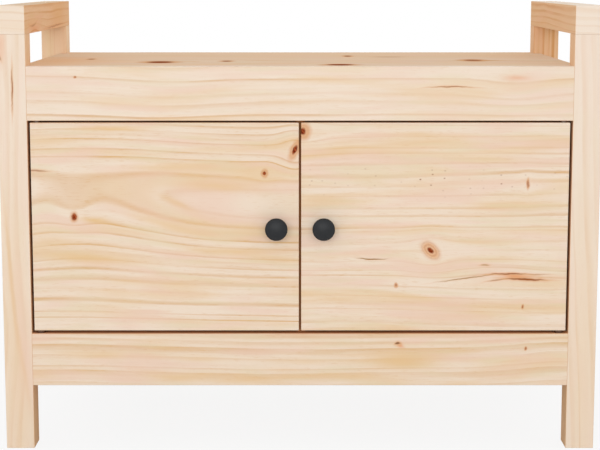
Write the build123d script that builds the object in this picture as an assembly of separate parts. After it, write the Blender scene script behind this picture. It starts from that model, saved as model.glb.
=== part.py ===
from build123d import *
import os

# Hall bench in solid pine: two open arm frames, a boarded seat and a two-door cupboard below it.
# Millimetres, +Z up. +X runs to the right as seen from the front, and the front faces -Y.
# The origin is on the floor, under the middle of the overall box with the knobs included.

# Overall size
bench_width = 800.0
bench_depth = 400.0
seat_height = 520.0

# Frame timber
leg_width = 38.0
arm_height = 38.0
arm_gap = 42.0
apron_height = 72.0
bottom_rail_height = 72.0
floor_clearance = 88.0
rail_thickness = 20.0
side_panel_thickness = 10.0
cleat_size = 16.0
edge_ease = 1.0

# Seat boards
seat_thickness = 20.0
seat_front_board_width = 224.0
seam_ease = 0.5

# Cupboard boards
floor_thickness = 13.0
partition_thickness = 13.0
shelf_thickness = 13.0
back_panel_thickness = 5.0
back_panel_setback = 6.0
back_groove_depth = 8.0
board_play = 0.25

# Doors
door_thickness = 15.0
door_centre_gap = 3.0
door_top_gap = 2.4
door_bottom_gap = 4.0
door_stop_gap = 1.0
swing_clearance = 0.53

# Pivot pins and bushes
pivot_inset = 8.0
pin_diameter = 5.0
pin_in_door = 20.0
pin_in_rail = 8.0
bush_wall = 1.5
bush_flange_diameter = 12.0
upper_flange_thickness = 1.4
bearing_gap = 0.3

# Knobs
knob_diameter = 30.0
knob_projection = 24.0
knob_inset = 30.0
knob_base_diameter = 18.0
knob_base_height = 2.0
knob_neck_diameter = 12.0
knob_neck_height = 8.0
knob_rim_height = 15.0
knob_dome_height = 4.5
knob_rim_round = 2.0
knob_thread_depth = 13.0

# Magnetic catches and their strike plates
catch_height = 24.0
catch_thickness = 12.0
catch_depth = 14.0
catch_drop = 40.0
catch_gap = 0.3
catch_ear_length = 8.0
catch_ear_thickness = 3.0
catch_ear_depth = 9.0
magnet_height = 18.0
magnet_thickness = 6.0
magnet_depth = 9.0
strike_height = 30.0
strike_width = 10.0
strike_thickness = 1.2
strike_screw_pitch = 20.0

# Dowels
dowel_diameter = 8.0
dowel_length = 40.0
rail_dowel_pitch = 36.0
arm_dowel_length = 36.0
arm_dowel_pitch = 18.0
panel_dowel_diameter = 6.0
panel_dowel_length = 30.0
panel_dowel_edge = 40.0

# Cam locks and their bolts
cam_diameter = 15.0
cam_below_bolt = 4.0
cam_setback = 24.0
cam_bolt_diameter = 6.0
cam_thread_diameter = 7.0
cam_thread_length = 11.0
cam_neck_diameter = 4.0
cam_head_diameter = 6.5
cam_head_length = 2.5
cam_drive_length = 9.0
cam_drive_width = 1.6
cam_drive_depth = 2.5
cleat_end_room = 30.0

# Shelf pegs
peg_diameter = 5.0
peg_stub_length = 5.5
peg_head_diameter = 9.0
peg_head_length = 8.0
peg_flat_height = 3.0
peg_inset = 45.0
peg_stagger = 16.0

# Screws
screw_diameter = 4.0
screw_head_diameter = 8.0
screw_head_height = 2.4
screw_cover = 6.0
partition_screw_grip = 26.0
small_screw_diameter = 3.0
small_screw_head_diameter = 5.5
small_screw_head_height = 1.6
strike_screw_length = 10.0
catch_screw_wall = 3.0
knob_screw_diameter = 4.0
knob_screw_head_diameter = 8.0
knob_screw_head_height = 2.6
recess_width = 0.9
recess_share = 0.55
cleat_side_screws = (-0.85, -0.3, 0.3, 0.85)
cleat_top_screws = (-0.6, 0.6)
partition_screws = (-0.7, 0.0, 0.7)

# Clearances of what fits together
glue_clearance = 0.05
running_clearance = 0.1
bore_end_room = 1.0
cutter_overrun = 1.0

# Places worked out from the sizes
half_width = bench_width / 2
leg_inner = half_width - leg_width
front = knob_projection - (bench_depth + knob_projection) / 2
back = front + bench_depth
front_leg_rear = front + leg_width
back_leg_front = back - leg_width
front_rail_rear = front + rail_thickness
back_rail_front = back - rail_thickness
leg_top = seat_height + arm_gap
bench_height = leg_top + arm_height
apron_bottom = seat_height - apron_height
bottom_rail_top = floor_clearance + bottom_rail_height
seat_underside = seat_height - seat_thickness
seat_seam = front_rail_rear + seat_front_board_width
floor_underside = bottom_rail_top - floor_thickness
side_panel_outer = leg_inner + side_panel_thickness
cleat_half_length = leg_inner - cam_setback - cam_diameter / 2 - cleat_end_room
half_partition = partition_thickness / 2
door_back = front + door_thickness
door_sweep = (pivot_inset ** 2 + (door_thickness / 2) ** 2) ** 0.5
door_side_gap = door_sweep - pivot_inset + swing_clearance
door_outer = leg_inner - door_side_gap
door_inner = door_centre_gap / 2
door_top = apron_bottom - door_top_gap
door_bottom = bottom_rail_top + door_bottom_gap
knob_height = (door_top + door_bottom) / 2
pivot_x = door_outer - pivot_inset
pivot_y = front + door_thickness / 2
partition_front = door_back + door_stop_gap
shelf_front = pivot_y + door_sweep + swing_clearance
shelf_rear = back_rail_front - board_play
shelf_middle = (bottom_rail_top + apron_bottom) / 2
shelf_underside = shelf_middle - shelf_thickness / 2
shelf_top = shelf_middle + shelf_thickness / 2
catch_front = door_back + strike_thickness + catch_gap
catch_middle = apron_bottom - catch_drop

sides = {"left": -1, "right": 1}
nodes = {}
bores = {}


# Basic forms


def block(x0, x1, y0, y1, z0, z1):
    """A box between two opposite corners, given in either order."""
    size = (abs(x1 - x0), abs(y1 - y0), abs(z1 - z0))
    return Pos((x0 + x1) / 2, (y0 + y1) / 2, (z0 + z1) / 2) * Box(*size)


def block_about(x, y, z, x_size, y_size, z_size):
    """A box around a middle point."""
    return Pos(x, y, z) * Box(x_size, y_size, z_size)


def rod(start, direction, diameter, length):
    """A round bar that runs from a point along a direction."""
    place = Plane(origin=start, z_dir=direction)
    return place * Cylinder(diameter / 2, length, align=(Align.CENTER, Align.CENTER, Align.MIN))


def taper(start, direction, start_diameter, end_diameter, length):
    """A cone that runs from a point along a direction."""
    place = Plane(origin=start, z_dir=direction)
    middle = (Align.CENTER, Align.CENTER, Align.MIN)
    return place * Cone(start_diameter / 2, end_diameter / 2, length, align=middle)


def eased(part, axis, radius):
    """The part with its edges along one axis rounded."""
    return fillet(part.edges().filter_by(axis), radius)


def bore(hole, *names):
    """Notes a hole that is cut from each named node once all boards are made."""
    for name in names:
        bores.setdefault(name, []).append(hole)


def add(name, *solids):
    """Adds solids to a node."""
    nodes.setdefault(name, []).extend(solids)


# Fasteners, each with the holes that it sits in


def dowel(group, middle, direction, diameter, length, *names):
    """A dowel centred on the face between two boards."""
    direction = Vector(*direction)
    hole_length = length + 2 * bore_end_room
    start = Vector(*middle) - direction * (length / 2)
    hole_start = Vector(*middle) - direction * (hole_length / 2)
    add(group, rod(start, direction, diameter, length))
    bore(rod(hole_start, direction, diameter + 2 * glue_clearance, hole_length), *names)


def cross_recess(head, direction, head_diameter, depth):
    """The cross-shaped driver recess in a screw head."""
    arm = head_diameter * recess_share
    place = Plane(origin=head, z_dir=direction)
    lower = (Align.CENTER, Align.CENTER, Align.MIN)
    long_way = Box(arm, recess_width, depth, align=lower)
    cross_way = Box(recess_width, arm, depth, align=lower)
    return place * (long_way + cross_way)


def sunk_screw(group, head, direction, length, diameter, head_diameter, head_height, *names):
    """A countersunk wood screw whose head is flush at a point, driven along a direction."""
    head = Vector(*head)
    direction = Vector(*direction)
    neck = head + direction * head_height
    shank = length - head_height
    screw = taper(head, direction, head_diameter, diameter, head_height)
    screw += rod(neck, direction, diameter, shank)
    add(group, screw - cross_recess(head, direction, head_diameter, head_height / 2))
    grown = 2 * glue_clearance
    hole = taper(head, direction, head_diameter + grown, diameter + grown, head_height)
    hole += rod(neck, direction, diameter + grown, shank + bore_end_room)
    bore(hole, *names)


def raised_screw(group, seat, direction, length, diameter, head_diameter, head_height, *names):
    """A round-headed screw whose head stands on a face, driven along a direction."""
    seat = Vector(*seat)
    direction = Vector(*direction)
    top = seat - direction * head_height
    screw = rod(top, direction, head_diameter, head_height) + rod(seat, direction, diameter, length)
    add(group, screw - cross_recess(top, direction, head_diameter, head_height / 2))
    bore(rod(seat, direction, diameter + 2 * glue_clearance, length + bore_end_room), *names)


# Frame


def make_legs():
    """Four square legs from the floor to the undersides of the arm rails."""
    for side_name, side in sides.items():
        for end_name, y0, y1 in (("front", front, front_leg_rear), ("back", back_leg_front, back)):
            leg = block(side * leg_inner, side * half_width, y0, y1, 0, leg_top)
            edges = leg.edges().filter_by(Axis.Z) + leg.edges().group_by(Axis.Z)[0]
            add(f"{end_name}_{side_name}_leg", fillet(edges, edge_ease))


def make_arm_rails():
    """Two square rails that lie on the legs, from the front to the back."""
    for side_name, side in sides.items():
        rail = block(side * leg_inner, side * half_width, front, back, leg_top, bench_height)
        add(f"{side_name}_arm_rail", fillet(rail.edges(), edge_ease))
        for end_name, leg_middle in (("front", front + leg_width / 2), ("back", back - leg_width / 2)):
            for step in (-0.5, 0.5):
                middle = (side * (leg_inner + leg_width / 2), leg_middle + step * arm_dowel_pitch, leg_top)
                joined = (f"{end_name}_{side_name}_leg", f"{side_name}_arm_rail")
                dowel("arm_dowels", middle, (0, 0, 1), dowel_diameter, arm_dowel_length, *joined)


def make_rail(name, end_name, y0, y1, z0, z1):
    """A rail between two legs, on two dowels and a cam lock at each end."""
    add(name, eased(block(-leg_inner, leg_inner, y0, y1, z0, z1), Axis.X, edge_ease))
    y_middle = (y0 + y1) / 2
    z_middle = (z0 + z1) / 2
    for side_name, side in sides.items():
        leg_name = f"{end_name}_{side_name}_leg"
        for step in (-0.5, 0.5):
            middle = (side * leg_inner, y_middle, z_middle + step * rail_dowel_pitch)
            dowel("rail_dowels", middle, (1, 0, 0), dowel_diameter, dowel_length, name, leg_name)
        inward = 1 if end_name == "front" else -1
        make_cam_lock(name, leg_name, side, y_middle, z_middle, inward)


def make_cam_lock(rail_name, leg_name, side, y_middle, z_middle, inward):
    """A cam in the inside of a rail, and the bolt that it draws out of the leg."""
    cam_x = side * (leg_inner - cam_setback)
    cam_face = y_middle + inward * rail_thickness / 2
    cam_length = rail_thickness / 2 + cam_below_bolt
    into_rail = (0, -inward, 0)
    cam = rod((cam_x, cam_face, z_middle), into_rail, cam_diameter, cam_length)
    head_slot = cam_head_diameter + 2 * bore_end_room
    slot_middle = cam_x + side * (cam_diameter - head_slot) / 2
    cam -= block_about(slot_middle, y_middle, z_middle, cam_diameter, head_slot, head_slot)
    drive_reach = 2 * cam_drive_depth
    cam -= block_about(cam_x, cam_face, z_middle, cam_drive_length, drive_reach, cam_drive_width)
    cam -= block_about(cam_x, cam_face, z_middle, cam_drive_width, drive_reach, cam_drive_length)
    add("cam_locks", cam)
    recess_diameter = cam_diameter + 2 * glue_clearance
    recess_depth = cam_length + glue_clearance
    bore(rod((cam_x, cam_face, z_middle), into_rail, recess_diameter, recess_depth), rail_name)

    leg_face = Vector(side * leg_inner, y_middle, z_middle)
    into_leg = Vector(side, 0, 0)
    rim_gap = cam_setback - cam_diameter / 2
    neck_length = cam_diameter / 2 - cam_head_length / 2
    neck = leg_face - into_leg * rim_gap
    head = neck - into_leg * neck_length
    bolt = rod(leg_face, into_leg, cam_thread_diameter, cam_thread_length)
    bolt += rod(leg_face, -into_leg, cam_bolt_diameter, rim_gap)
    bolt += rod(neck, -into_leg, cam_neck_diameter, neck_length)
    bolt += rod(head, -into_leg, cam_head_diameter, cam_head_length)
    add("cam_bolts", bolt)
    thread_hole = cam_thread_diameter + 2 * glue_clearance
    bore(rod(leg_face, into_leg, thread_hole, cam_thread_length + bore_end_room), leg_name)
    bore(rod(leg_face, -into_leg, thread_hole, cam_setback), rail_name)


def make_rails():
    """The aprons under the seat and the rails under the cupboard, front and back."""
    for end_name, y0, y1 in (("front", front, front_rail_rear), ("back", back_rail_front, back)):
        make_rail(f"{end_name}_apron", end_name, y0, y1, apron_bottom, seat_height)
        make_rail(f"{end_name}_bottom_rail", end_name, y0, y1, floor_clearance, bottom_rail_top)


def make_side_panels():
    """A panel between the legs of each side, flush with their inner faces, on dowels."""
    low = floor_clearance + panel_dowel_edge
    high = seat_underside - panel_dowel_edge
    for side_name, side in sides.items():
        name = f"{side_name}_side_panel"
        panel = block(side * leg_inner, side * side_panel_outer, front_leg_rear, back_leg_front,
                      floor_clearance, seat_underside)
        add(name, eased(panel, Axis.Y, seam_ease))
        x_middle = side * (leg_inner + side_panel_thickness / 2)
        for end_name, y in (("front", front_leg_rear), ("back", back_leg_front)):
            for z in (low, (low + high) / 2, high):
                dowel("side_panel_dowels", (x_middle, y, z), (0, 1, 0), panel_dowel_diameter,
                      panel_dowel_length, name, f"{end_name}_{side_name}_leg")


# Seat


def make_seat():
    """Two seat boards, notched round the legs, with their ends on the side panels."""
    middle = leg_inner - board_play
    spans = (("seat_front_board", front_rail_rear, seat_seam, front_leg_rear + board_play, seat_seam),
             ("seat_back_board", seat_seam, back_rail_front, seat_seam, back_leg_front - board_play))
    for name, y0, y1, wide_y0, wide_y1 in spans:
        board = block(-middle, middle, y0, y1, seat_underside, seat_height)
        board += block(-side_panel_outer, side_panel_outer, wide_y0, wide_y1, seat_underside, seat_height)
        add(name, fillet(board.edges().group_by(Axis.Z)[-1], seam_ease))


def make_cleats():
    """Battens screwed to the insides of the rails, which carry the seat and the cupboard floor."""
    inner_faces = {"front": (front_rail_rear, 1), "back": (back_rail_front, -1)}
    carried = {"seat": ("apron", seat_underside, seat_thickness),
               "floor": ("bottom_rail", floor_underside, floor_thickness)}
    for end_name, (face, inward) in inner_faces.items():
        for board_name, (rail, top, board_thickness) in carried.items():
            name = f"{end_name}_{board_name}_cleat"
            inside = face + inward * cleat_size
            low = top - cleat_size
            cleat = block(-cleat_half_length, cleat_half_length, face, inside, low, top)
            add(name, eased(cleat, Axis.X, seam_ease))
            side_length = cleat_size + rail_thickness - screw_cover
            for share in cleat_side_screws:
                head = (share * cleat_half_length, inside, low + cleat_size / 2)
                sunk_screw("cleat_screws", head, (0, -inward, 0), side_length, screw_diameter,
                           screw_head_diameter, screw_head_height, name, f"{end_name}_{rail}")
            if board_name == "seat":
                board = f"seat_{end_name}_board"
            else:
                board = "cabinet_floor"
            up_length = cleat_size + board_thickness - screw_cover
            for share in cleat_top_screws:
                head = (share * cleat_half_length, face + inward * cleat_size / 2, low)
                sunk_screw(f"{board_name}_screws", head, (0, 0, 1), up_length, screw_diameter,
                           screw_head_diameter, screw_head_height, name, board)


# Cupboard


def make_floor():
    """The cupboard floor, level with the top of the bottom rails."""
    side = leg_inner - board_play
    y0 = front_rail_rear + board_play
    y1 = back_rail_front - board_play
    add("cabinet_floor", block(-side, side, y0, y1, floor_underside, bottom_rail_top))


def make_partition():
    """The upright between the two halves, which stops the doors and carries the seat."""
    rear = back_rail_front - board_play
    past = half_partition + cutter_overrun
    board = block(-half_partition, half_partition, partition_front, rear, bottom_rail_top, seat_underside)
    board = fillet(board.edges().filter_by(Axis.Z).group_by(Axis.Y)[0], seam_ease)
    apron_notch = front_rail_rear + board_play
    board -= block(-past, past, front, apron_notch, apron_bottom - board_play, seat_height)
    cleat_bottom = seat_underside - cleat_size - board_play
    front_cleat = front_rail_rear + cleat_size + board_play
    back_cleat = back_rail_front - cleat_size - board_play
    board -= block(-past, past, front, front_cleat, cleat_bottom, seat_height)
    board -= block(-past, past, back_cleat, back, cleat_bottom, seat_height)
    add("centre_partition", board)
    y_middle = (front_rail_rear + back_rail_front) / 2
    y_reach = (back_rail_front - front_rail_rear) / 2
    for share in partition_screws:
        head = (0, y_middle + share * y_reach, floor_underside)
        sunk_screw("partition_screws", head, (0, 0, 1), floor_thickness + partition_screw_grip,
                   screw_diameter, screw_head_diameter, screw_head_height,
                   "cabinet_floor", "centre_partition")


def make_shelves():
    """A loose shelf in each half, on four pegs."""
    for side_name, side in sides.items():
        inner = side * (half_partition + board_play)
        outer = side * (leg_inner - board_play)
        shelf = block(inner, outer, shelf_front, shelf_rear, shelf_underside, shelf_top)
        add(f"{side_name}_shelf", eased(shelf, Axis.X, seam_ease))
        stagger = side * peg_stagger / 2
        for y in (shelf_front + peg_inset, shelf_rear - peg_inset):
            make_peg(side_name, side * leg_inner, y, side, f"{side_name}_side_panel")
            make_peg(side_name, side * half_partition, y + stagger, -side, "centre_partition")


def make_peg(side_name, face_x, y, into, board_name):
    """A shelf peg in an upright board, with a flat on top that the shelf lies on."""
    axis_z = shelf_underside - peg_flat_height
    face = Vector(face_x, y, axis_z)
    inward = Vector(into, 0, 0)
    peg = rod(face, -inward, peg_head_diameter, peg_head_length)
    reach = peg_head_diameter + peg_head_length
    above = shelf_underside + peg_head_diameter
    peg -= block(face_x - reach, face_x + reach, y - reach, y + reach, shelf_underside, above)
    peg += rod(face, inward, peg_diameter, peg_stub_length)
    add(f"{side_name}_shelf_pegs", peg)
    hole_diameter = peg_diameter + 2 * glue_clearance
    bore(rod(face, inward, hole_diameter, peg_stub_length + glue_clearance), board_name)


def make_back_panel():
    """A thin panel held in grooves of the back legs and the back rails."""
    y0 = back_rail_front + back_panel_setback
    y1 = y0 + back_panel_thickness
    reach = back_groove_depth - bore_end_room
    side = leg_inner + reach
    add("back_panel", block(-side, side, y0, y1, bottom_rail_top - reach, apron_bottom + reach))
    groove_side = leg_inner + back_groove_depth
    groove = block(-groove_side, groove_side, y0 - running_clearance, y1 + running_clearance,
                   bottom_rail_top - back_groove_depth, apron_bottom + back_groove_depth)
    bore(groove, "back_left_leg", "back_right_leg", "back_apron", "back_bottom_rail")


# Doors and what is on them


def make_doors():
    """Two inset doors, each on an upper and a lower pivot pin near its outer edge."""
    for side_name, side in sides.items():
        name = f"{side_name}_door"
        door = block(side * door_inner, side * door_outer, front, door_back, door_bottom, door_top)
        add(name, fillet(door.edges(), edge_ease))
        lower_flange_thickness = door_bottom_gap - bearing_gap
        make_pivot(side_name, side * pivot_x, apron_bottom, 1, door_top_gap,
                   upper_flange_thickness, "front_apron")
        make_pivot(side_name, side * pivot_x, bottom_rail_top, -1, door_bottom_gap,
                   lower_flange_thickness, "front_bottom_rail")
        make_knob(side_name, side * (door_inner + knob_inset))
        make_catch(side_name, side)


def make_pivot(side_name, x, rail_face, into_rail, gap, flange_thickness, rail_name):
    """A pin fixed in a door's edge, and the flanged bush in the rail that it turns in."""
    door_edge = Vector(x, pivot_y, rail_face - into_rail * gap)
    face = Vector(x, pivot_y, rail_face)
    outward = Vector(0, 0, into_rail)
    pin_start = door_edge - outward * pin_in_door
    pin_length = pin_in_door + gap + pin_in_rail
    add(f"{side_name}_pivot_pins", rod(pin_start, outward, pin_diameter, pin_length))
    hole_start = pin_start - outward * bore_end_room
    hole = rod(hole_start, outward, pin_diameter + 2 * glue_clearance, pin_in_door + bore_end_room)
    bore(hole, f"{side_name}_door")

    bush_bore = pin_diameter + 2 * running_clearance
    bush_diameter = bush_bore + 2 * bush_wall
    bush_length = pin_in_rail + bore_end_room
    flange_start = face - outward * flange_thickness
    bush = rod(flange_start, outward, bush_flange_diameter, flange_thickness)
    bush += rod(face, outward, bush_diameter, bush_length)
    bush -= rod(flange_start, outward, bush_bore, flange_thickness + bush_length)
    add(f"{side_name}_pivot_bushes", bush)
    seat_diameter = bush_diameter + 2 * glue_clearance
    bore(rod(face, outward, seat_diameter, bush_length + glue_clearance), rail_name)


def make_knob(side_name, x):
    """A round knob with a domed face, and the screw that holds it from inside the door."""
    rim = knob_diameter / 2
    dome_start = knob_projection - knob_dome_height
    dome_radius = (rim ** 2 + knob_dome_height ** 2) / (2 * knob_dome_height)
    neck = knob_neck_diameter / 2
    base = knob_base_diameter / 2
    lower = Polyline((0, 0), (base, 0), (base, knob_base_height), (neck, knob_neck_height),
                     (rim, knob_rim_height), (rim, dome_start))
    dome = RadiusArc((rim, dome_start), (0, knob_projection), -dome_radius)
    axis_line = Line((0, knob_projection), (0, 0))
    turned = revolve(make_face(Curve() + [lower, dome, axis_line]), Axis.Y)
    round_edges = turned.edges().filter_by(GeomType.CIRCLE)
    rim_edges = [edge for edge in round_edges if edge.radius > rim - knob_rim_round]
    knob = Pos(x, front, knob_height) * (Rot(0, 0, 180) * fillet(rim_edges, knob_rim_round))
    name = f"{side_name}_knob"
    add(name, knob)
    raised_screw(f"{side_name}_knob_screw", (x, door_back, knob_height), (0, -1, 0),
                 door_thickness + knob_thread_depth, knob_screw_diameter, knob_screw_head_diameter,
                 knob_screw_head_height, f"{side_name}_door", name)


def make_catch(side_name, side):
    """A magnetic catch on the partition, and the strike plate that it holds on the door."""
    face = side * half_partition
    outer = face + side * catch_thickness
    ear_face = face + side * catch_ear_thickness
    low = catch_middle - catch_height / 2
    high = catch_middle + catch_height / 2
    ear_rear = catch_front + catch_depth
    ear_front = ear_rear - catch_ear_depth
    case = block(face, outer, catch_front, ear_rear, low, high)
    case += block(face, ear_face, ear_front, ear_rear, low - catch_ear_length, high + catch_ear_length)
    case_name = f"{side_name}_catch_case"
    add(case_name, case)

    x_middle = (face + outer) / 2
    y_middle = catch_front + magnet_depth / 2
    magnet = block_about(x_middle, y_middle, catch_middle, magnet_thickness, magnet_depth, magnet_height)
    add(f"{side_name}_catch_magnet", magnet)
    grown = 2 * glue_clearance
    pocket_size = (magnet_thickness + grown, magnet_depth + grown, magnet_height + grown)
    bore(block_about(x_middle, y_middle, catch_middle, *pocket_size), case_name)

    grip = (partition_thickness - catch_screw_wall) / 2
    for z in (low - catch_ear_length / 2, high + catch_ear_length / 2):
        raised_screw("catch_screws", (ear_face, (ear_front + ear_rear) / 2, z), (-side, 0, 0),
                     catch_ear_thickness + grip, small_screw_diameter, small_screw_head_diameter,
                     small_screw_head_height, case_name, "centre_partition")

    plate_name = f"{side_name}_strike_plate"
    strike_middle = door_back + strike_thickness / 2
    strike_rear = door_back + strike_thickness
    plate = block_about(x_middle, strike_middle, catch_middle, strike_width, strike_thickness, strike_height)
    add(plate_name, eased(plate, Axis.Y, edge_ease))
    for step in (-0.5, 0.5):
        head = (x_middle, strike_rear, catch_middle + step * strike_screw_pitch)
        sunk_screw(f"{side_name}_strike_screws", head, (0, -1, 0), strike_screw_length,
                   small_screw_diameter, small_screw_head_diameter, small_screw_head_height,
                   plate_name, f"{side_name}_door")


make_legs()
make_arm_rails()
make_rails()
make_side_panels()
make_seat()
make_cleats()
make_floor()
make_partition()
make_shelves()
make_back_panel()
make_doors()

os.makedirs("parts", exist_ok=True)
for node_name, solids in nodes.items():
    if node_name in bores:
        solids = [solid - bores[node_name] for solid in solids]
    shape = solids[0] if len(solids) == 1 else Compound(children=solids)
    export_step(shape, f"parts/{node_name}.step")
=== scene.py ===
import math
from collections.abc import Sequence
from dataclasses import dataclass, field

import bpy
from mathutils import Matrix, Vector

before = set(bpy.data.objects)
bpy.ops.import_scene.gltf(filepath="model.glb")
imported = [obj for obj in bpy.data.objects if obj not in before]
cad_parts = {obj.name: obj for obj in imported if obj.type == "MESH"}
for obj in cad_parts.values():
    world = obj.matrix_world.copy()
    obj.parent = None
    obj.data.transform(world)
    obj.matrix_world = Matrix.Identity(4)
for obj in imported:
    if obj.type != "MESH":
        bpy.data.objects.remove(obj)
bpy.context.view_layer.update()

# Lengths in the materials are millimetres in the bench's own frame: X to the right, Y to the back, Z up.
MILLIMETRES_PER_METRE = 1000.0


def screen(red, green, blue):
    """The linear colour that a shader takes, from the sRGB colour seen on screen, 0 to 255."""
    def linear(level):
        share = level / 255
        return share / 12.92 if share <= 0.04045 else ((share + 0.055) / 1.055) ** 2.4
    return (linear(red), linear(green), linear(blue), 1.0)


# Camera: the photograph's eye point, tilted down at the bench
EYE_M = Vector((0.0, -2.245, 0.635))
TILT_DOWN_DEGREES = 7.92
LENS_MM = 93.4
SENSOR_MM = 36.0
FRAME_SHIFT = -0.05

# Room and softboxes: levels of light on the bench, and the point that both softboxes face
HORIZON_LEVEL = 1.0
ZENITH_LEVEL = 0.65
SOFTBOX_TARGET_M = Vector((0.0, 0.0, 0.3))
WHITE = (1.0, 1.0, 1.0, 1.0)

# Floor: how much of the bench's shadow shows on it, and how far from the bench's middle
FLOOR_HALF_M = 30.0
FLOOR_COLOUR = screen(222, 221, 219)
SHADOW_SHARE = 0.12
SHADOW_FULL_MM = 500.0
SHADOW_END_MM = 1500.0

# Colours of the timber
EARLY_WOOD = screen(239, 221, 202)
LATE_WOOD = screen(215, 168, 112)
AMBER = screen(230, 194, 144)
ROSE = screen(236, 203, 184)
STRAW = screen(228, 212, 178)
TAN = screen(238, 204, 170)
PALE = screen(242, 227, 212)
APRICOT = screen(240, 185, 133)
SALMON = screen(230, 162, 116)
OCHRE = screen(158, 112, 50)
UMBER = screen(118, 74, 44)
PITCH = screen(150, 82, 40)
KNOT_CORE = screen(112, 38, 16)
KNOT_HEART = screen(172, 86, 46)
KNOT_HALO = screen(226, 172, 122)
KNOT_RING = screen(208, 142, 92)

# Painted shade: redder tints that the other colours of shaded sides are multiplied by, and the ways such
# sides face
SHADE_TINT = (0.95, 0.75, 0.55, 1.0)
DEEP_SHADE_TINT = (0.85, 0.58, 0.4, 1.0)
MILD_SHADE_TINT = (1.0, 0.89, 0.73, 1.0)
UPWARD = (0.0, 0.0, 1.0)
DOWNWARD = (0.0, 0.0, -1.0)
FORWARD = (0.0, -1.0, 0.0)
LEFTWARD = (-1.0, 0.0, 0.0)
RIGHTWARD = (1.0, 0.0, 0.0)

# Colours of the dowels, knobs and ironmongery
BEECH_PALE = screen(214, 178, 142)
BEECH_DEEP = screen(196, 154, 114)
BEECH_RAY = screen(158, 112, 76)
# Painted shade on the knob's rim
SHADED_RIM_BLACK = screen(8, 7, 6)
BLACK_DEEP = screen(24, 26, 29)
BLACK_WORN = screen(36, 38, 41)
ZINC_BLUE = screen(190, 196, 206)
ZINC_YELLOW = screen(216, 211, 198)
NYLON_DARK = screen(72, 46, 28)
NYLON_LIGHT = screen(98, 64, 40)
FERRITE_DARK = screen(38, 38, 41)
FERRITE_LIGHT = screen(66, 66, 68)

# Noise: octaves of detail, its middle, and how far from the middle it mostly keeps
SMOOTH = 1.0
PLAIN = 2.0
FINE = 3.0
FINEST = 4.0
NOISE_MIDDLE = 0.5
NOISE_REACH = 0.25


class Nodes:
    """A material's or world's nodes, with short ways to add them. An input is a socket or a plain value."""

    def __init__(self, owner):
        owner.use_nodes = True
        self.owner = owner
        self.tree = owner.node_tree
        self.tree.nodes.clear()

    def add(self, kind, inputs, **settings):
        node = self.tree.nodes.new(kind)
        for key, value in settings.items():
            setattr(node, key, value)
        for key, value in inputs.items():
            if isinstance(value, bpy.types.NodeSocket):
                self.tree.links.new(value, node.inputs[key])
            else:
                node.inputs[key].default_value = value
        return node

    def math(self, operation, *values):
        return self.add("ShaderNodeMath", dict(enumerate(values)), operation=operation).outputs[0]

    def vector(self, operation, *values):
        return self.add("ShaderNodeVectorMath", dict(enumerate(values)), operation=operation).outputs[0]

    def dot(self, first, second):
        node = self.add("ShaderNodeVectorMath", {0: first, 1: second}, operation="DOT_PRODUCT")
        return node.outputs["Value"]

    def split(self, vector):
        return self.add("ShaderNodeSeparateXYZ", {0: vector}).outputs

    def join(self, x, y, z):
        return self.add("ShaderNodeCombineXYZ", {0: x, 1: y, 2: z}).outputs[0]

    def step(self, value, low, high):
        """0 at low and 1 at high, smooth between. With high below low it falls instead."""
        inputs = {"Value": value, "From Min": low, "From Max": high}
        return self.add("ShaderNodeMapRange", inputs, interpolation_type="SMOOTHSTEP").outputs[0]

    def scale(self, value, low, high):
        """0 to 1 mapped to low to high."""
        return self.add("ShaderNodeMapRange", {"Value": value, "To Min": low, "To Max": high}).outputs[0]

    def noise_node(self, place, cell, detail):
        inputs = {"Vector": self.vector("DIVIDE", place, cell), "Scale": 1.0, "Detail": detail}
        return self.add("ShaderNodeTexNoise", inputs)

    def noise(self, place, cell, detail=PLAIN):
        """Noise of about 0 to 1, in cells of that many millimetres each way."""
        return self.noise_node(place, cell, detail).outputs[0]

    def centred(self, noise, gain):
        """The noise less its middle, times the gain."""
        return self.math("MULTIPLY_ADD", noise, gain, -NOISE_MIDDLE * gain)

    def mix(self, share, first, second, blend="MIX"):
        inputs = {0: share, 6: first, 7: second}
        return self.add("ShaderNodeMix", inputs, data_type="RGBA", blend_type=blend).outputs[2]

    def local(self, place, centre, half_size, turn=0.0):
        """Place measured from a centre, in half sizes, on axes turned by that many degrees."""
        inputs = {
            "Vector": place,
            "Location": (*centre, 0.0),
            "Rotation": (0.0, 0.0, math.radians(turn)),
            "Scale": (*half_size, 1.0),
        }
        return self.add("ShaderNodeMapping", inputs, vector_type="TEXTURE").outputs[0]

    def bell(self, local):
        """1 at the local centre, falling away as a bell curve."""
        return self.math("EXPONENT", self.math("MULTIPLY", self.dot(local, local), -1.0))

    def object_place(self):
        """The point's place in the bench's frame at rest, in millimetres. It stays with a moving door."""
        metres = self.add("ShaderNodeTexCoord", {}).outputs["Object"]
        inputs = {0: metres, "Scale": MILLIMETRES_PER_METRE}
        return self.add("ShaderNodeVectorMath", inputs, operation="SCALE").outputs[0]

    def normal(self):
        """The way that the surface faces, in the bench's frame at rest."""
        return self.add("ShaderNodeTexCoord", {}).outputs["Normal"]

    def seen_directly(self):
        """1 for what the camera sees, straight, mirrored or through glass, and 0 for light on the bench."""
        path = self.add("ShaderNodeLightPath", {}).outputs
        share = path["Is Camera Ray"]
        for ray in ("Is Glossy Ray", "Is Transmission Ray"):
            share = self.math("MAXIMUM", share, path[ray])
        return share

    def finish(self, colour, roughness, height, relief_mm, specular=0.5, metallic=0.0):
        """The material with its surface made, and the height as relief of that many millimetres."""
        relief = {"Height": height, "Distance": relief_mm / MILLIMETRES_PER_METRE}
        inputs = {
            "Base Color": colour,
            "Roughness": roughness,
            "Normal": self.add("ShaderNodeBump", relief).outputs[0],
            "Specular IOR Level": specular,
            "Metallic": metallic,
        }
        surface = self.add("ShaderNodeBsdfPrincipled", inputs)
        self.add("ShaderNodeOutputMaterial", {"Surface": surface.outputs[0]})
        return self.owner


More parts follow.
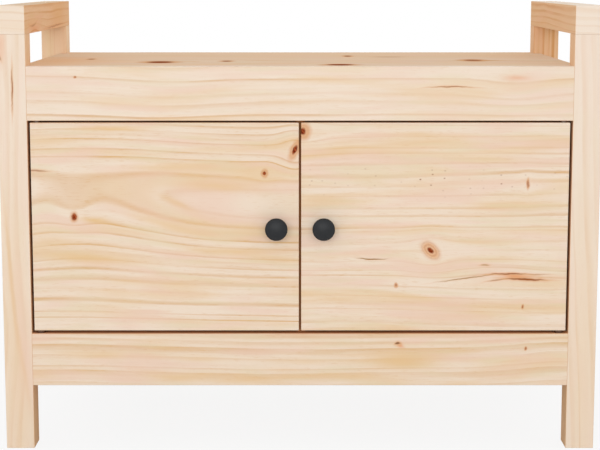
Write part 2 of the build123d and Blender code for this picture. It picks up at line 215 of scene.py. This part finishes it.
def new_material(name):
    return Nodes(bpy.data.materials.new(name))


@dataclass
class Mark:
    """A patch of a board's face: its middle along and across the grain, its size and its turn in degrees."""
    along: float
    across: float
    length: float
    height: float
    turn: float = field(default=0.0, kw_only=True)


@dataclass
class Knot(Mark):
    """A branch seen end on. Its halo and its reach into the grain are in knot sizes, the rest are shares."""
    halo: float = 2.2
    reach: float = 3.5
    push: float = 0.8
    core: float = 1.0
    rings: float = 0.3


@dataclass
class Swell(Mark):
    """A stretch where the grain lines run higher or, with a negative rise, lower than elsewhere."""
    rise: float


@dataclass
class Streak(Mark):
    """A thin pointed line along the grain. The bend is how far across its ends lie from its middle."""
    bend: float = 0.0
    strength: float = 1.0
    halo: float = 0.7
    tone: tuple = PITCH


@dataclass
class Stain(Mark):
    """A soft patch of another tone."""
    strength: float = 0.6
    tone: tuple = AMBER


@dataclass
class Board:
    """How a pine board was cut, its tones and its marks."""
    # Axis of the fibres, axis across the broad face, and what sets this board's noise apart
    grain: str
    face: str
    seed: float
    # Growth rings: spacing, centre across the face and through the board, run, and strength of late wood
    spacing: float = 14.0
    pith: tuple = (-420.0, 160.0)
    slope: float = 0.0
    wander: float = 6.0
    contrast: float = 1.0
    # Shares of the warm tone outside its bands and of the pale tone, on the whole and on the end grain
    warmth: float = 0.0
    warm_tone: tuple = AMBER
    paleness: float = 0.0
    end_paleness: float = 0.0
    # How much the surface shines
    sheen: float = 0.05
    # Painted shade: the ways that shaded sides face, or all the narrow sides, and the tint that darkens them
    shaded_sides: Sequence = ()
    shaded_edges: bool = False
    shade_tint: tuple = SHADE_TINT
    # Marks. A dive is a swell that takes the cut nearer to the pith or farther away.
    knots: Sequence = ()
    swells: Sequence = ()
    dives: Sequence = ()
    streaks: Sequence = ()
    stains: Sequence = ()
    specks: Sequence = ()

    @property
    def depth(self):
        """The axis through the board."""
        return next(axis for axis in "XYZ" if axis not in (self.grain, self.face))


@dataclass
class Band:
    """A tone that follows the rings: its noise cell, where in the noise it begins and is full, its share."""
    cell: tuple
    begins: float
    full: float
    share: float
    detail: float = SMOOTH


def grain_cell(along, across):
    """A noise cell of that many millimetres along the grain and across it."""
    return (along, across, across)


# Pine: how a board's seed moves its noise, and how marks shake along and across the board
SEED_STRIDES = (913.0, 377.0, 151.0)
SHAKE_CELL = grain_cell(14.0, 9.0)
SHAKE_WIDTH = (4.0, 3.0, 0.0)

# Growth rings: how they wander and ripple, how uneven the years are, and a year's late wood
WANDER_CELL = grain_cell(420.0, 70.0)
RIPPLE_CELL = grain_cell(90.0, 26.0)
RIPPLE_SHARE = 1 / 6
UNEVEN_SCALE = 0.9
UNEVEN_YEARS = 1.4
SUMMER_SHARE = 0.2
LATE_RISE = (0.45, 0.92)
LATE_FALL = (1.0, 0.8)
YEAR_LEVELS = (0.35, 1.0)
PATCH_CELL = grain_cell(170.0, 20.0)
PATCH_LEVELS = (-0.2, 1.9)

# Fibres, strands and short flecks, and their shares in the late wood's colour
FIBRE_CELL = grain_cell(40.0, 1.1)
STRAND_CELL = grain_cell(90.0, 4.0)
FLECK_CELL = grain_cell(12.0, 1.6)
FLECK_EDGE = (0.58, 0.72)
LATE_SHARE = 0.75
STRAND_SHARE = 0.5
FIBRE_SHARE = 0.24
FLECK_SHARE = 0.18

# Broad bands of warm, rosy and yellow wood
WARM_BAND = Band(grain_cell(190.0, 18.0), begins=0.42, full=0.78, share=0.68, detail=PLAIN)
ROSE_BAND = Band(grain_cell(110.0, 16.0), begins=0.46, full=0.72, share=0.55)
STRAW_BAND = Band(grain_cell(90.0, 11.0), begins=0.5, full=0.74, share=0.4)

# Edges of marks, in half sizes: streaks inwards from the rim, knots outwards from the middle
STREAK_EDGE = (-0.3, 0.9)
STREAK_HALO_EDGE = (-2.0, 0.6)
KNOT_EDGE = (1.2, 0.55)
KNOT_HALO_EDGE = (1.25, 0.55)
KNOT_HALO_SHARE = 0.75
KNOT_RING_RADIANS = 7.0
KNOT_SPECKLE_CELL = (2.6, 2.6, 2.6)
KNOT_SPECKLE_RADIANS = 5.0
KNOT_SPECKLE_EDGE = (0.35, 0.7)
SPECK_CELL = (18.0, 13.0, 1.0)
SPECK_EDGE = (0.11, 0.03)
SPECK_CHOICE = (0.35, 0.9)

# Sides of a board, by the share of their normal that points along an axis
SIDE_EDGE = (0.3, 0.8)
NARROW_SIDE_EDGE = (0.6, 0.2)

# Surface of sanded pine: late wood is smoother and stands higher
PINE_RELIEF_MM = 0.08
PINE_ROUGHNESS = (0.8, 0.6)
LATE_SMOOTHNESS = 0.4
LATE_HEIGHT = 0.5


class Timber(Nodes):
    """The nodes of one pine board: its rings and fibres, and the tones and marks that are laid over them."""

    def __init__(self, name, board):
        super().__init__(bpy.data.materials.new(name))
        self.board = board
        axes = dict(zip("XYZ", self.split(self.object_place())))
        self.along = axes[board.grain]
        self.across = axes[board.face]
        self.through = axes[board.depth]
        self.whole = self.join(self.along, self.across, self.through)
        offset = tuple(board.seed * stride for stride in SEED_STRIDES)
        self.place = self.vector("ADD", self.whole, offset)
        self.flat = self.shaken_flat()
        self.radius = self.ring_radius()
        self.bands = self.vector("ADD", self.join(self.along, self.radius, 0.0), offset)
        self.growth = self.late_growth()
        self.fibre = self.noise(self.place, FIBRE_CELL, FINE)

    def shaken_flat(self):
        """The place on the board's face, shaken a little so that marks have natural edges."""
        colour = self.noise_node(self.place, SHAKE_CELL, PLAIN).outputs["Color"]
        shake = self.vector("SUBTRACT", colour, (NOISE_MIDDLE, NOISE_MIDDLE, NOISE_MIDDLE))
        return self.vector("MULTIPLY_ADD", shake, SHAKE_WIDTH, self.join(self.along, self.across, 0.0))

    def from_middle(self, mark):
        """The place on the face, from the mark's middle in half sizes, on axes that turn with it."""
        half_size = (mark.length / 2, mark.height / 2)
        return self.local(self.flat, (mark.along, mark.across), half_size, mark.turn)

    def grain_lines(self):
        """The place across the grain lines, which wander along the board and part round the knots."""
        board = self.board
        lines = self.math("MULTIPLY_ADD", self.along, -board.slope, self.across)
        for cell, reach in ((WANDER_CELL, board.wander), (RIPPLE_CELL, board.wander * RIPPLE_SHARE)):
            swing = self.centred(self.noise(self.place, cell, SMOOTH), reach / NOISE_REACH)
            lines = self.math("ADD", lines, swing)
        for knot in board.knots:
            # The grain parts twice as far along the board as across it
            half_size = (knot.length * knot.reach, knot.height * knot.reach / 2)
            local = self.local(self.flat, (knot.along, knot.across), half_size)
            lift = self.math("MULTIPLY", self.split(local)["Y"], -knot.push * half_size[1])
            lines = self.math("MULTIPLY_ADD", lift, self.bell(local), lines)
        for swell in board.swells:
            lines = self.math("MULTIPLY_ADD", self.bell(self.from_middle(swell)), -swell.rise, lines)
        return lines

    def ring_radius(self):
        """How far from the pith the wood grew."""
        pith_across, pith_through = self.board.pith
        depth = self.math("SUBTRACT", self.through, pith_through)
        for dive in self.board.dives:
            depth = self.math("MULTIPLY_ADD", self.bell(self.from_middle(dive)), dive.rise, depth)
        off_pith = self.join(self.math("SUBTRACT", self.grain_lines(), pith_across), depth, 0.0)
        return self.math("SQRT", self.dot(off_pith, off_pith))

    def late_growth(self):
        """How much late wood there is. It rises through each year, more in some years and patches."""
        age = self.math("MULTIPLY_ADD", self.radius, 1 / self.board.spacing, self.board.seed)
        inputs = {"W": age, "Scale": UNEVEN_SCALE, "Detail": SMOOTH}
        uneven = self.add("ShaderNodeTexNoise", inputs, noise_dimensions="1D").outputs[0]
        age = self.math("MULTIPLY_ADD", uneven, UNEVEN_YEARS, age)
        season = self.math("FRACT", age)
        year = {"W": self.math("FLOOR", age)}
        luck = self.add("ShaderNodeTexWhiteNoise", year, noise_dimensions="1D").outputs[0]
        rise = self.math("MULTIPLY_ADD", season, SUMMER_SHARE, self.step(season, *LATE_RISE))
        growth = self.math("MULTIPLY", rise, self.step(season, *LATE_FALL))
        growth = self.math("MULTIPLY", growth, self.scale(luck, *YEAR_LEVELS))
        patches = self.scale(self.noise(self.bands, PATCH_CELL), *PATCH_LEVELS)
        return self.math("MULTIPLY", growth, patches)

    def tones(self):
        """The wood's colour without its marks."""
        board = self.board
        strand = self.noise(self.bands, STRAND_CELL, FINE)
        fleck = self.step(self.noise(self.place, FLECK_CELL, SMOOTH), *FLECK_EDGE)
        late = self.math("MULTIPLY", self.growth, LATE_SHARE * board.contrast)
        late = self.math("ADD", late, self.centred(strand, STRAND_SHARE))
        late = self.math("ADD", late, self.centred(self.fibre, FIBRE_SHARE))
        late = self.math("MULTIPLY_ADD", fleck, FLECK_SHARE, late)
        colour = self.mix(late, EARLY_WOOD, LATE_WOOD)
        layers = (
            (WARM_BAND, board.warm_tone, board.warmth),
            (ROSE_BAND, ROSE, 0.0),
            (STRAW_BAND, STRAW, 0.0),
        )
        for band, tone, least in layers:
            lies = self.step(self.noise(self.bands, band.cell, band.detail), band.begins, band.full)
            colour = self.mix(self.math("MULTIPLY_ADD", lies, band.share, least), colour, tone)
        if board.paleness:
            colour = self.mix(board.paleness, colour, PALE)
        return colour

    def lay_stains(self, colour):
        for stain in self.board.stains:
            share = self.math("MULTIPLY", self.bell(self.from_middle(stain)), stain.strength)
            colour = self.mix(share, colour, stain.tone)
        return colour

    def lay_streaks(self, colour):
        for streak in self.board.streaks:
            x, y, _ = self.split(self.from_middle(streak))
            square = self.math("MULTIPLY", x, x)
            half_height = streak.height / 2
            off_line = self.math("MULTIPLY_ADD", square, -streak.bend / half_height, y)
            inside = self.math("SUBTRACT", 1.0, square)
            inside = self.math("SUBTRACT", inside, self.math("ABSOLUTE", off_line))
            halo = self.step(inside, *STREAK_HALO_EDGE)
            halo = self.math("MULTIPLY", halo, streak.halo * streak.strength)
            colour = self.mix(halo, colour, KNOT_HALO)
            share = self.math("MULTIPLY", self.step(inside, *STREAK_EDGE), streak.strength)
            colour = self.mix(share, colour, streak.tone)
        return colour

    def lay_knots(self, colour):
        speckle = self.noise(self.place, KNOT_SPECKLE_CELL)
        for knot in self.board.knots:
            local = self.from_middle(knot)
            distance = self.math("SQRT", self.dot(local, local))
            turns = self.math("MULTIPLY", distance, KNOT_RING_RADIANS)
            turns = self.math("MULTIPLY_ADD", speckle, KNOT_SPECKLE_RADIANS, turns)
            ring = self.math("MULTIPLY_ADD", self.math("SINE", turns), knot.rings / 2, 0.5)
            halo = self.step(distance, *(knot.halo * edge for edge in KNOT_HALO_EDGE))
            halo = self.math("MULTIPLY", halo, KNOT_HALO_SHARE)
            colour = self.mix(halo, colour, self.mix(ring, KNOT_HALO, KNOT_RING))
            core = self.math("MULTIPLY", self.step(distance, *KNOT_EDGE), knot.core)
            core_tone = self.mix(self.step(speckle, *KNOT_SPECKLE_EDGE), KNOT_CORE, KNOT_HEART)
            colour = self.mix(core, colour, core_tone)
        return colour

    def lay_specks(self, colour):
        for patch in self.board.specks:
            cells = {"Vector": self.vector("DIVIDE", self.whole, SPECK_CELL), "Scale": 1.0}
            dots = self.add("ShaderNodeTexVoronoi", cells, voronoi_dimensions="2D").outputs
            share = self.step(dots["Distance"], *SPECK_EDGE)
            share = self.math("MULTIPLY", share, self.bell(self.from_middle(patch)))
            share = self.math("MULTIPLY", share, self.step(self.split(dots["Color"])["X"], *SPECK_CHOICE))
            share = self.math("MULTIPLY", share, patch.strength)
            colour = self.mix(share, colour, patch.tone)
        return colour

    def faces_along(self, axis):
        """The share of the surface's normal that points along the axis, either way."""
        return self.math("ABSOLUTE", self.split(self.normal())[axis])

    def lay_sides(self, colour):
        """Paler end grain, and painted shade: a darker, redder tint on the sides and edges that face into
        shade.
        """
        board = self.board
        if board.end_paleness:
            on_end = self.step(self.faces_along(board.grain), *SIDE_EDGE)
            colour = self.mix(self.math("MULTIPLY", on_end, board.end_paleness), colour, PALE)
        shares = [self.step(self.dot(self.normal(), way), *SIDE_EDGE) for way in board.shaded_sides]
        if board.shaded_edges:
            shares.append(self.step(self.faces_along(board.depth), *NARROW_SIDE_EDGE))
        for share in shares:
            colour = self.mix(share, colour, board.shade_tint, blend="MULTIPLY")
        return colour


def pine(name, board):
    """Sanded pine, cut and marked as the board says."""
    timber = Timber(name, board)
    colour = timber.lay_stains(timber.tones())
    colour = timber.lay_streaks(colour)
    colour = timber.lay_knots(colour)
    colour = timber.lay_specks(colour)
    colour = timber.lay_sides(colour)
    smoothness = timber.math("MULTIPLY_ADD", timber.growth, LATE_SMOOTHNESS, timber.fibre)
    roughness = timber.scale(smoothness, *PINE_ROUGHNESS)
    height = timber.math("MULTIPLY_ADD", timber.growth, LATE_HEIGHT, timber.fibre)
    return timber.finish(colour, roughness, height, PINE_RELIEF_MM, specular=board.sheen)


# Beech: length and width of its rays and bands
RAY_SIZE = (5.0, 0.7)
RAY_EDGE = (0.58, 0.72)
RAY_SHARE = 0.6
BEECH_BAND_SIZE = (40.0, 2.5)


def beech(name, grain):
    """Raw beech dowel rod, with short dark rays along the grain axis."""
    def cell(length, width):
        return tuple(length if axis == grain else width for axis in "XYZ")
    nodes = new_material(name)
    place = nodes.object_place()
    rays = nodes.noise(place, cell(*RAY_SIZE), SMOOTH)
    colour = nodes.mix(nodes.noise(place, cell(*BEECH_BAND_SIZE)), BEECH_PALE, BEECH_DEEP)
    ray_share = nodes.math("MULTIPLY", nodes.step(rays, *RAY_EDGE), RAY_SHARE)
    colour = nodes.mix(ray_share, colour, BEECH_RAY)
    roughness = nodes.scale(rays, low=0.55, high=0.75)
    return nodes.finish(colour, roughness, rays, relief_mm=0.05, specular=0.3)


# Satin black lacquer: its clouds and orange peel, and where the knob's face turns into its rim, which gets
# painted shade
CLOUD_CELL = (6.0, 6.0, 6.0)
PEEL_CELL = (0.8, 0.8, 0.8)
FACE_EDGE = (0.5, 0.85)


def satin_black(name):
    """Satin black lacquer with a fine orange peel, and painted shade that makes the rim darker than the
    face.
    """
    nodes = new_material(name)
    place = nodes.object_place()
    cloud = nodes.noise(place, CLOUD_CELL, FINE)
    peel = nodes.noise(place, PEEL_CELL, SMOOTH)
    on_face = nodes.step(nodes.dot(nodes.normal(), FORWARD), *FACE_EDGE)
    colour = nodes.mix(on_face, SHADED_RIM_BLACK, nodes.mix(cloud, BLACK_DEEP, BLACK_WORN))
    roughness = nodes.scale(cloud, low=0.4, high=0.52)
    return nodes.finish(colour, roughness, peel, relief_mm=0.02, specular=0.3)


# Zinc plating: its drawn lines and its casts of colour
DRAWN_CELL = (0.5, 0.5, 9.0)
CAST_CELL = (5.0, 5.0, 5.0)


def zinc(name):
    """Bright zinc plating: drawn lines and a faint yellow and blue cast."""
    nodes = new_material(name)
    place = nodes.object_place()
    drawn = nodes.noise(place, DRAWN_CELL, FINE)
    colour = nodes.mix(nodes.noise(place, CAST_CELL), ZINC_BLUE, ZINC_YELLOW)
    roughness = nodes.scale(drawn, low=0.22, high=0.45)
    return nodes.finish(colour, roughness, drawn, relief_mm=0.02, metallic=1.0)


def moulded(name, dark, light, grain_size, least_rough, most_rough):
    """A moulded or pressed solid with a fine grain in its skin."""
    nodes = new_material(name)
    grain = nodes.noise(nodes.object_place(), (grain_size, grain_size, grain_size), FINEST)
    colour = nodes.mix(grain, dark, light)
    roughness = nodes.scale(grain, least_rough, most_rough)
    return nodes.finish(colour, roughness, grain, relief_mm=0.04, specular=0.4)


def dress(material, *names):
    """Gives CAD nodes that material."""
    for name in names:
        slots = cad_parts[name].data.materials
        slots.clear()
        slots.append(material)


# Boards that the photograph shows, with their marks
# Shaded sides and edges listed in a board get a painted shade tint
boards = {
    "left_door": Board(
        "X", "Z", 1.37, spacing=12.0, pith=(337.0, -162.0), wander=2.5, contrast=1.2,
        shaded_edges=True, shade_tint=DEEP_SHADE_TINT,
        knots=[
            Knot(-302, 319, 8, 11, halo=1.5, push=0.4),
            Knot(-47, 378, 5, 6, halo=2.3),
            Knot(-7, 409, 6, 14, turn=-25, halo=2.4),
        ],
        swells=[
            Swell(-300, 360, 280, 220, rise=25),
            Swell(-302, 340, 50, 44, rise=-22),
        ],
        dives=[Swell(-300, 337, 280, 4000, rise=-16)],
        streaks=[Streak(-352, 382, 40, 3, turn=-3, strength=0.6)],
        stains=[
            Stain(-250, 438, 90, 8, strength=0.8),
            Stain(-110, 361, 110, 14, turn=-3),
            Stain(-165, 338, 50, 9, turn=-25, strength=0.5),
            Stain(-285, 264, 150, 16, turn=-4, strength=0.8),
            Stain(-275, 315, 34, 8, turn=-3, strength=0.9),
            Stain(-75, 273, 140, 9, strength=0.6),
        ],
    ),
    "right_door": Board(
        "X", "Z", 2.81, spacing=12.0, pith=(700.0, -60.0), wander=4.0, contrast=0.85,
        shaded_edges=True, shade_tint=DEEP_SHADE_TINT,
        knots=[
            Knot(4, 434, 9, 10, halo=2.6),
            Knot(175, 274, 7, 11, turn=45, halo=3.0, reach=4.0, push=0.7, rings=1.0),
            Knot(304, 364, 3, 11, halo=1.6, push=0.2, core=0.45),
            Knot(129.5, 226.5, 3, 4, halo=2.0, push=0.3, core=0.5),
            Knot(300, 197, 2.4, 4, halo=1.8, push=0.3, core=0.6),
        ],
        swells=[
            Swell(360, 410, 500, 90, rise=7),
            Swell(60, 205, 300, 100, rise=6),
            Swell(270, 247, 120, 30, rise=6),
        ],
        streaks=[
            Streak(96, 262, 46, 2.4, turn=-2, bend=1.2, halo=0.2, tone=OCHRE),
            Streak(224, 236, 92, 2, turn=8, strength=0.8, halo=0.3, tone=OCHRE),
            Streak(280, 242, 60, 2.4, bend=-1.0, strength=0.9),
            Streak(266, 233.5, 34, 1.8, turn=9, strength=0.6),
            Streak(303, 234.5, 62, 3.6, turn=-2.5),
            Streak(320, 241.2, 36, 1.6, strength=0.4),
            Streak(248, 253.7, 15, 2.2, turn=3, strength=0.6, tone=OCHRE),
        ],
        stains=[Stain(290, 238.4, 36, 6, turn=-4, strength=1.0, tone=SALMON)],
        specks=[Stain(170, 367, 310, 32, strength=0.8, tone=PITCH)],
    ),
    "front_apron": Board(
        "X", "Z", 3.19, spacing=16.0, wander=3.0, contrast=1.4, paleness=0.28,
        shaded_sides=[DOWNWARD], shade_tint=DEEP_SHADE_TINT,
        knots=[Knot(-297, 506, 3.5, 3, halo=1.5, push=0.2, core=0.5)],
        swells=[
            Swell(-180, 485, 180, 160, rise=-7),
            Swell(285, 485, 110, 50, rise=-8),
        ],
        streaks=[Streak(200, 493.5, 64, 1.8, bend=-1.2, strength=0.7)],
        stains=[Stain(287, 505, 32, 7, strength=0.5, tone=SALMON)],
    ),
    "front_bottom_rail": Board(
        "X", "Z", 4.53, spacing=10.0, wander=3.0, contrast=1.05, warmth=0.06,
        shaded_sides=[UPWARD], shade_tint=DEEP_SHADE_TINT,
        knots=[Knot(305, 139.5, 3, 4, halo=1.6, push=0.4, core=0.6)],
        swells=[
            Swell(-330, 124, 360, 160, rise=6),
            Swell(360, 125, 170, 90, rise=10),
        ],
        streaks=[Streak(132, 146.3, 9, 3.2, turn=6, bend=-0.6, strength=0.9, tone=UMBER)],
        stains=[
            Stain(140, 121, 90, 22, strength=0.8),
            Stain(136, 143.5, 10, 6, turn=-30, strength=0.8, tone=SALMON),
        ],
    ),
    "front_left_leg": Board(
        "Z", "X", 5.11, spacing=10.0, pith=(-520.0, -60.0), slope=0.01, contrast=1.3,
        warm_tone=ROSE, paleness=0.5, shaded_sides=[RIGHTWARD],
        swells=[Swell(150, -390, 160, 60, rise=9)],
        streaks=[
            Streak(490, -380.5, 66, 2.2, turn=1, strength=0.8),
            Streak(534, -397, 16, 4, turn=-25, strength=0.5),
        ],
        stains=[
            Stain(548, -394, 46, 12, strength=0.4, tone=SALMON),
            Stain(110, -384, 500, 50, strength=0.35),
            Stain(235, -388, 200, 5, turn=-4, strength=0.5),
            Stain(125, -376, 130, 6, turn=-8, strength=0.5),
            Stain(130, -371, 180, 18, turn=-6, strength=0.5, tone=ROSE),
        ],
    ),
    "front_right_leg": Board(
        "Z", "X", 6.47, spacing=10.0, pith=(520.0, -60.0), slope=-0.05, contrast=1.8,
        warm_tone=ROSE, paleness=0.65, shaded_sides=[LEFTWARD],
        stains=[Stain(110, 384, 500, 50, strength=0.3)],
    ),
    "seat_front_board": Board(
        "X", "Y", 7.73, spacing=15.0, contrast=2.4, warmth=0.6, warm_tone=TAN, sheen=0.0,
        knots=[
            Knot(-194, -81, 38, 44, halo=1.7),
            Knot(54, -148, 38, 36, halo=1.6),
            Knot(245, -32, 26, 40, halo=1.8, core=0.65),
            Knot(-103, -54, 15, 24, halo=1.7, core=0.8),
            Knot(-300, 0, 10, 20, halo=1.7, core=0.7),
        ],
        streaks=[Streak(268, -34, 40, 6, strength=0.7)],
        # Painted warm bounce light near the seat's left end, from the arm's inner face
        stains=[Stain(-345, -60, 150, 300, strength=0.5, tone=APRICOT)],
    ),
    "seat_back_board": Board(
        "X", "Y", 8.29, spacing=15.0, contrast=2.4, warmth=0.7, warm_tone=TAN, sheen=0.0,
        knots=[Knot(71, 88, 11, 30, halo=1.7, core=0.7)],
        streaks=[Streak(130, 61, 60, 12, strength=0.8)],
    ),
    "left_arm_rail": Board(
        "Y", "Z", 9.13, spacing=11.0, pith=(450.0, -385.0), contrast=2.4,
        paleness=0.2, end_paleness=0.5, shaded_sides=[RIGHTWARD],
        swells=[Swell(-105, 566, 110, 30, rise=9)],
        streaks=[
            # The first streak is a painted contact shadow along the rail's lower edge where it meets the
            # back leg
            Streak(70, 566, 190, 3, turn=1, strength=0.45),
            Streak(-120, 572, 60, 3, turn=4, bend=3.0, strength=0.35),
        ],
        stains=[
            Stain(110, 582, 180, 60, strength=0.5),
            Stain(-110, 567, 90, 12, strength=0.45, tone=SALMON),
        ],
    ),
    "right_arm_rail": Board(
        "Y", "Z", 10.44, spacing=11.0, pith=(450.0, 360.0), contrast=2.8,
        paleness=0.4, end_paleness=0.5, shaded_sides=[LEFTWARD],
        stains=[Stain(-130, 582, 170, 70, strength=0.45, tone=PALE)],
    ),
    "back_left_leg": Board(
        "Z", "X", 11.75, spacing=8.0, contrast=2.2, warm_tone=ROSE, paleness=0.4,
        shaded_sides=[FORWARD, RIGHTWARD], shade_tint=MILD_SHADE_TINT,
    ),
    "back_right_leg": Board(
        "Z", "X", 13.06, spacing=8.0, contrast=2.0, paleness=0.12,
        shaded_sides=[FORWARD, LEFTWARD],
    ),
    "centre_partition": Board(
        "Z", "Y", 26.16, warmth=0.6,
        shaded_sides=[FORWARD], shade_tint=DEEP_SHADE_TINT,
    ),
}

# The other boards: node, grain axis, face axis, ring spacing, warmth
HIDDEN_FIRST_SEED = 14.37
HIDDEN_SEED_STEP = 1.31
hidden_boards = [
    ("back_apron", "X", "Z", 14.0, 0.1),
    ("back_bottom_rail", "X", "Z", 14.0, 0.1),
    ("left_side_panel", "Y", "Z", 14.0, 0.1),
    ("right_side_panel", "Y", "Z", 14.0, 0.1),
    ("front_seat_cleat", "X", "Z", 8.0, 0.3),
    ("back_seat_cleat", "X", "Z", 8.0, 0.3),
    ("front_floor_cleat", "X", "Z", 8.0, 0.3),
    ("back_floor_cleat", "X", "Z", 8.0, 0.3),
    ("cabinet_floor", "X", "Y", 14.0, 0.2),
    ("left_shelf", "X", "Y", 14.0, 0.4),
    ("right_shelf", "X", "Y", 14.0, 0.4),
]
for number, (node, grain, face, spacing, warmth) in enumerate(hidden_boards):
    seed = HIDDEN_FIRST_SEED + HIDDEN_SEED_STEP * number
    boards[node] = Board(grain, face, seed, spacing=spacing, warmth=warmth)

for node, board in boards.items():
    dress(pine(node.removesuffix("_board") + "_pine", board), node)

# The thin back is rotary-cut veneer, with wide and wandering rings
veneer = Board("X", "Z", 31.4, spacing=24.0, wander=26.0, warmth=0.3)
dress(pine("back_panel_plywood", veneer), "back_panel")

# Dowels, knobs and ironmongery
dress(beech("rail_dowel_beech", "X"), "rail_dowels")
dress(beech("side_panel_dowel_beech", "Y"), "side_panel_dowels")
dress(beech("arm_dowel_beech", "Z"), "arm_dowels")
dress(satin_black("knob_black"), "left_knob", "right_knob")
nylon = moulded(
    "brown_nylon", NYLON_DARK, NYLON_LIGHT, grain_size=0.6, least_rough=0.45, most_rough=0.6,
)
ferrite = moulded(
    "ferrite", FERRITE_DARK, FERRITE_LIGHT, grain_size=0.4, least_rough=0.55, most_rough=0.75,
)
plating = zinc("zinc_plating")
shared_screws = ["cleat_screws", "seat_screws", "floor_screws", "partition_screws", "catch_screws"]
dress(plating, "cam_locks", "cam_bolts", *shared_screws)
for side in ("left", "right"):
    for piece in ("knob_screw", "pivot_pins", "strike_plate", "strike_screws", "shelf_pegs"):
        dress(plating, f"{side}_{piece}")
    for piece in ("pivot_bushes", "catch_case"):
        dress(nylon, f"{side}_{piece}")
    dress(ferrite, f"{side}_catch_magnet")


def make_floor():
    """A floor that is white where the camera sees it, apart from the bench's own soft shadow close by."""
    nodes = new_material("studio_floor_paint")
    place = nodes.object_place()
    away = nodes.math("SQRT", nodes.dot(place, place))
    shadow = nodes.math("MULTIPLY", nodes.step(away, SHADOW_END_MM, SHADOW_FULL_MM), SHADOW_SHARE)
    white_share = nodes.math("MULTIPLY", nodes.seen_directly(), nodes.math("SUBTRACT", 1.0, shadow))
    white = nodes.add("ShaderNodeEmission", {"Color": WHITE, "Strength": 1.0}).outputs[0]
    paint = nodes.add("ShaderNodeBsdfDiffuse", {"Color": FLOOR_COLOUR}).outputs[0]
    cover = nodes.add("ShaderNodeMixShader", {0: white_share, 1: paint, 2: white}).outputs[0]
    nodes.add("ShaderNodeOutputMaterial", {"Surface": cover})
    mesh = bpy.data.meshes.new("studio_floor")
    square = ((-1, -1), (1, -1), (1, 1), (-1, 1))
    corners = [(x * FLOOR_HALF_M, y * FLOOR_HALF_M, 0.0) for x, y in square]
    mesh.from_pydata(corners, [], [(0, 1, 2, 3)])
    mesh.materials.append(nodes.owner)
    floor = bpy.data.objects.new("studio_floor", mesh)
    bpy.context.scene.collection.objects.link(floor)


def make_world():
    """A room that is white where the camera sees it, and lights the bench most from the horizon."""
    world = bpy.data.worlds.new("studio")
    nodes = Nodes(world)
    direction = nodes.add("ShaderNodeTexCoord", {}).outputs["Generated"]
    room = nodes.scale(nodes.split(direction)["Z"], HORIZON_LEVEL, ZENITH_LEVEL)
    level = nodes.scale(nodes.seen_directly(), room, 1.0)
    background = nodes.add("ShaderNodeBackground", {"Color": WHITE, "Strength": level})
    nodes.add("ShaderNodeOutputWorld", {"Surface": background.outputs[0]})
    bpy.context.scene.world = world


def make_softbox(name, place_m, width_m, height_m, watts):
    lamp = bpy.data.lights.new(name, "AREA")
    lamp.shape = "RECTANGLE"
    lamp.size = width_m
    lamp.size_y = height_m
    lamp.energy = watts
    holder = bpy.data.objects.new(name, lamp)
    holder.location = place_m
    holder.rotation_euler = (SOFTBOX_TARGET_M - Vector(place_m)).to_track_quat("-Z", "Y").to_euler()
    holder.visible_camera = False
    bpy.context.scene.collection.objects.link(holder)


def make_camera():
    """The photograph's camera. Unturned it would look straight down, so 90 degrees is level."""
    camera = bpy.data.objects.new("camera", bpy.data.cameras.new("camera"))
    camera.data.lens = LENS_MM
    camera.data.sensor_width = SENSOR_MM
    camera.data.shift_y = FRAME_SHIFT
    camera.location = EYE_M
    camera.rotation_euler = (math.radians(90 - TILT_DOWN_DEGREES), 0, 0)
    bpy.context.scene.collection.objects.link(camera)
    bpy.context.scene.camera = camera


# Studio: a large softbox behind the camera and a weaker one at the back
make_floor()
make_world()
make_softbox("front_softbox", place_m=(-0.2, -3.0, 1.0), width_m=2.4, height_m=0.8, watts=24)
make_softbox("back_softbox", place_m=(0.6, 3.0, 1.3), width_m=2.4, height_m=1.2, watts=16)
make_camera()
bpy.context.scene.view_settings.view_transform = "Standard"
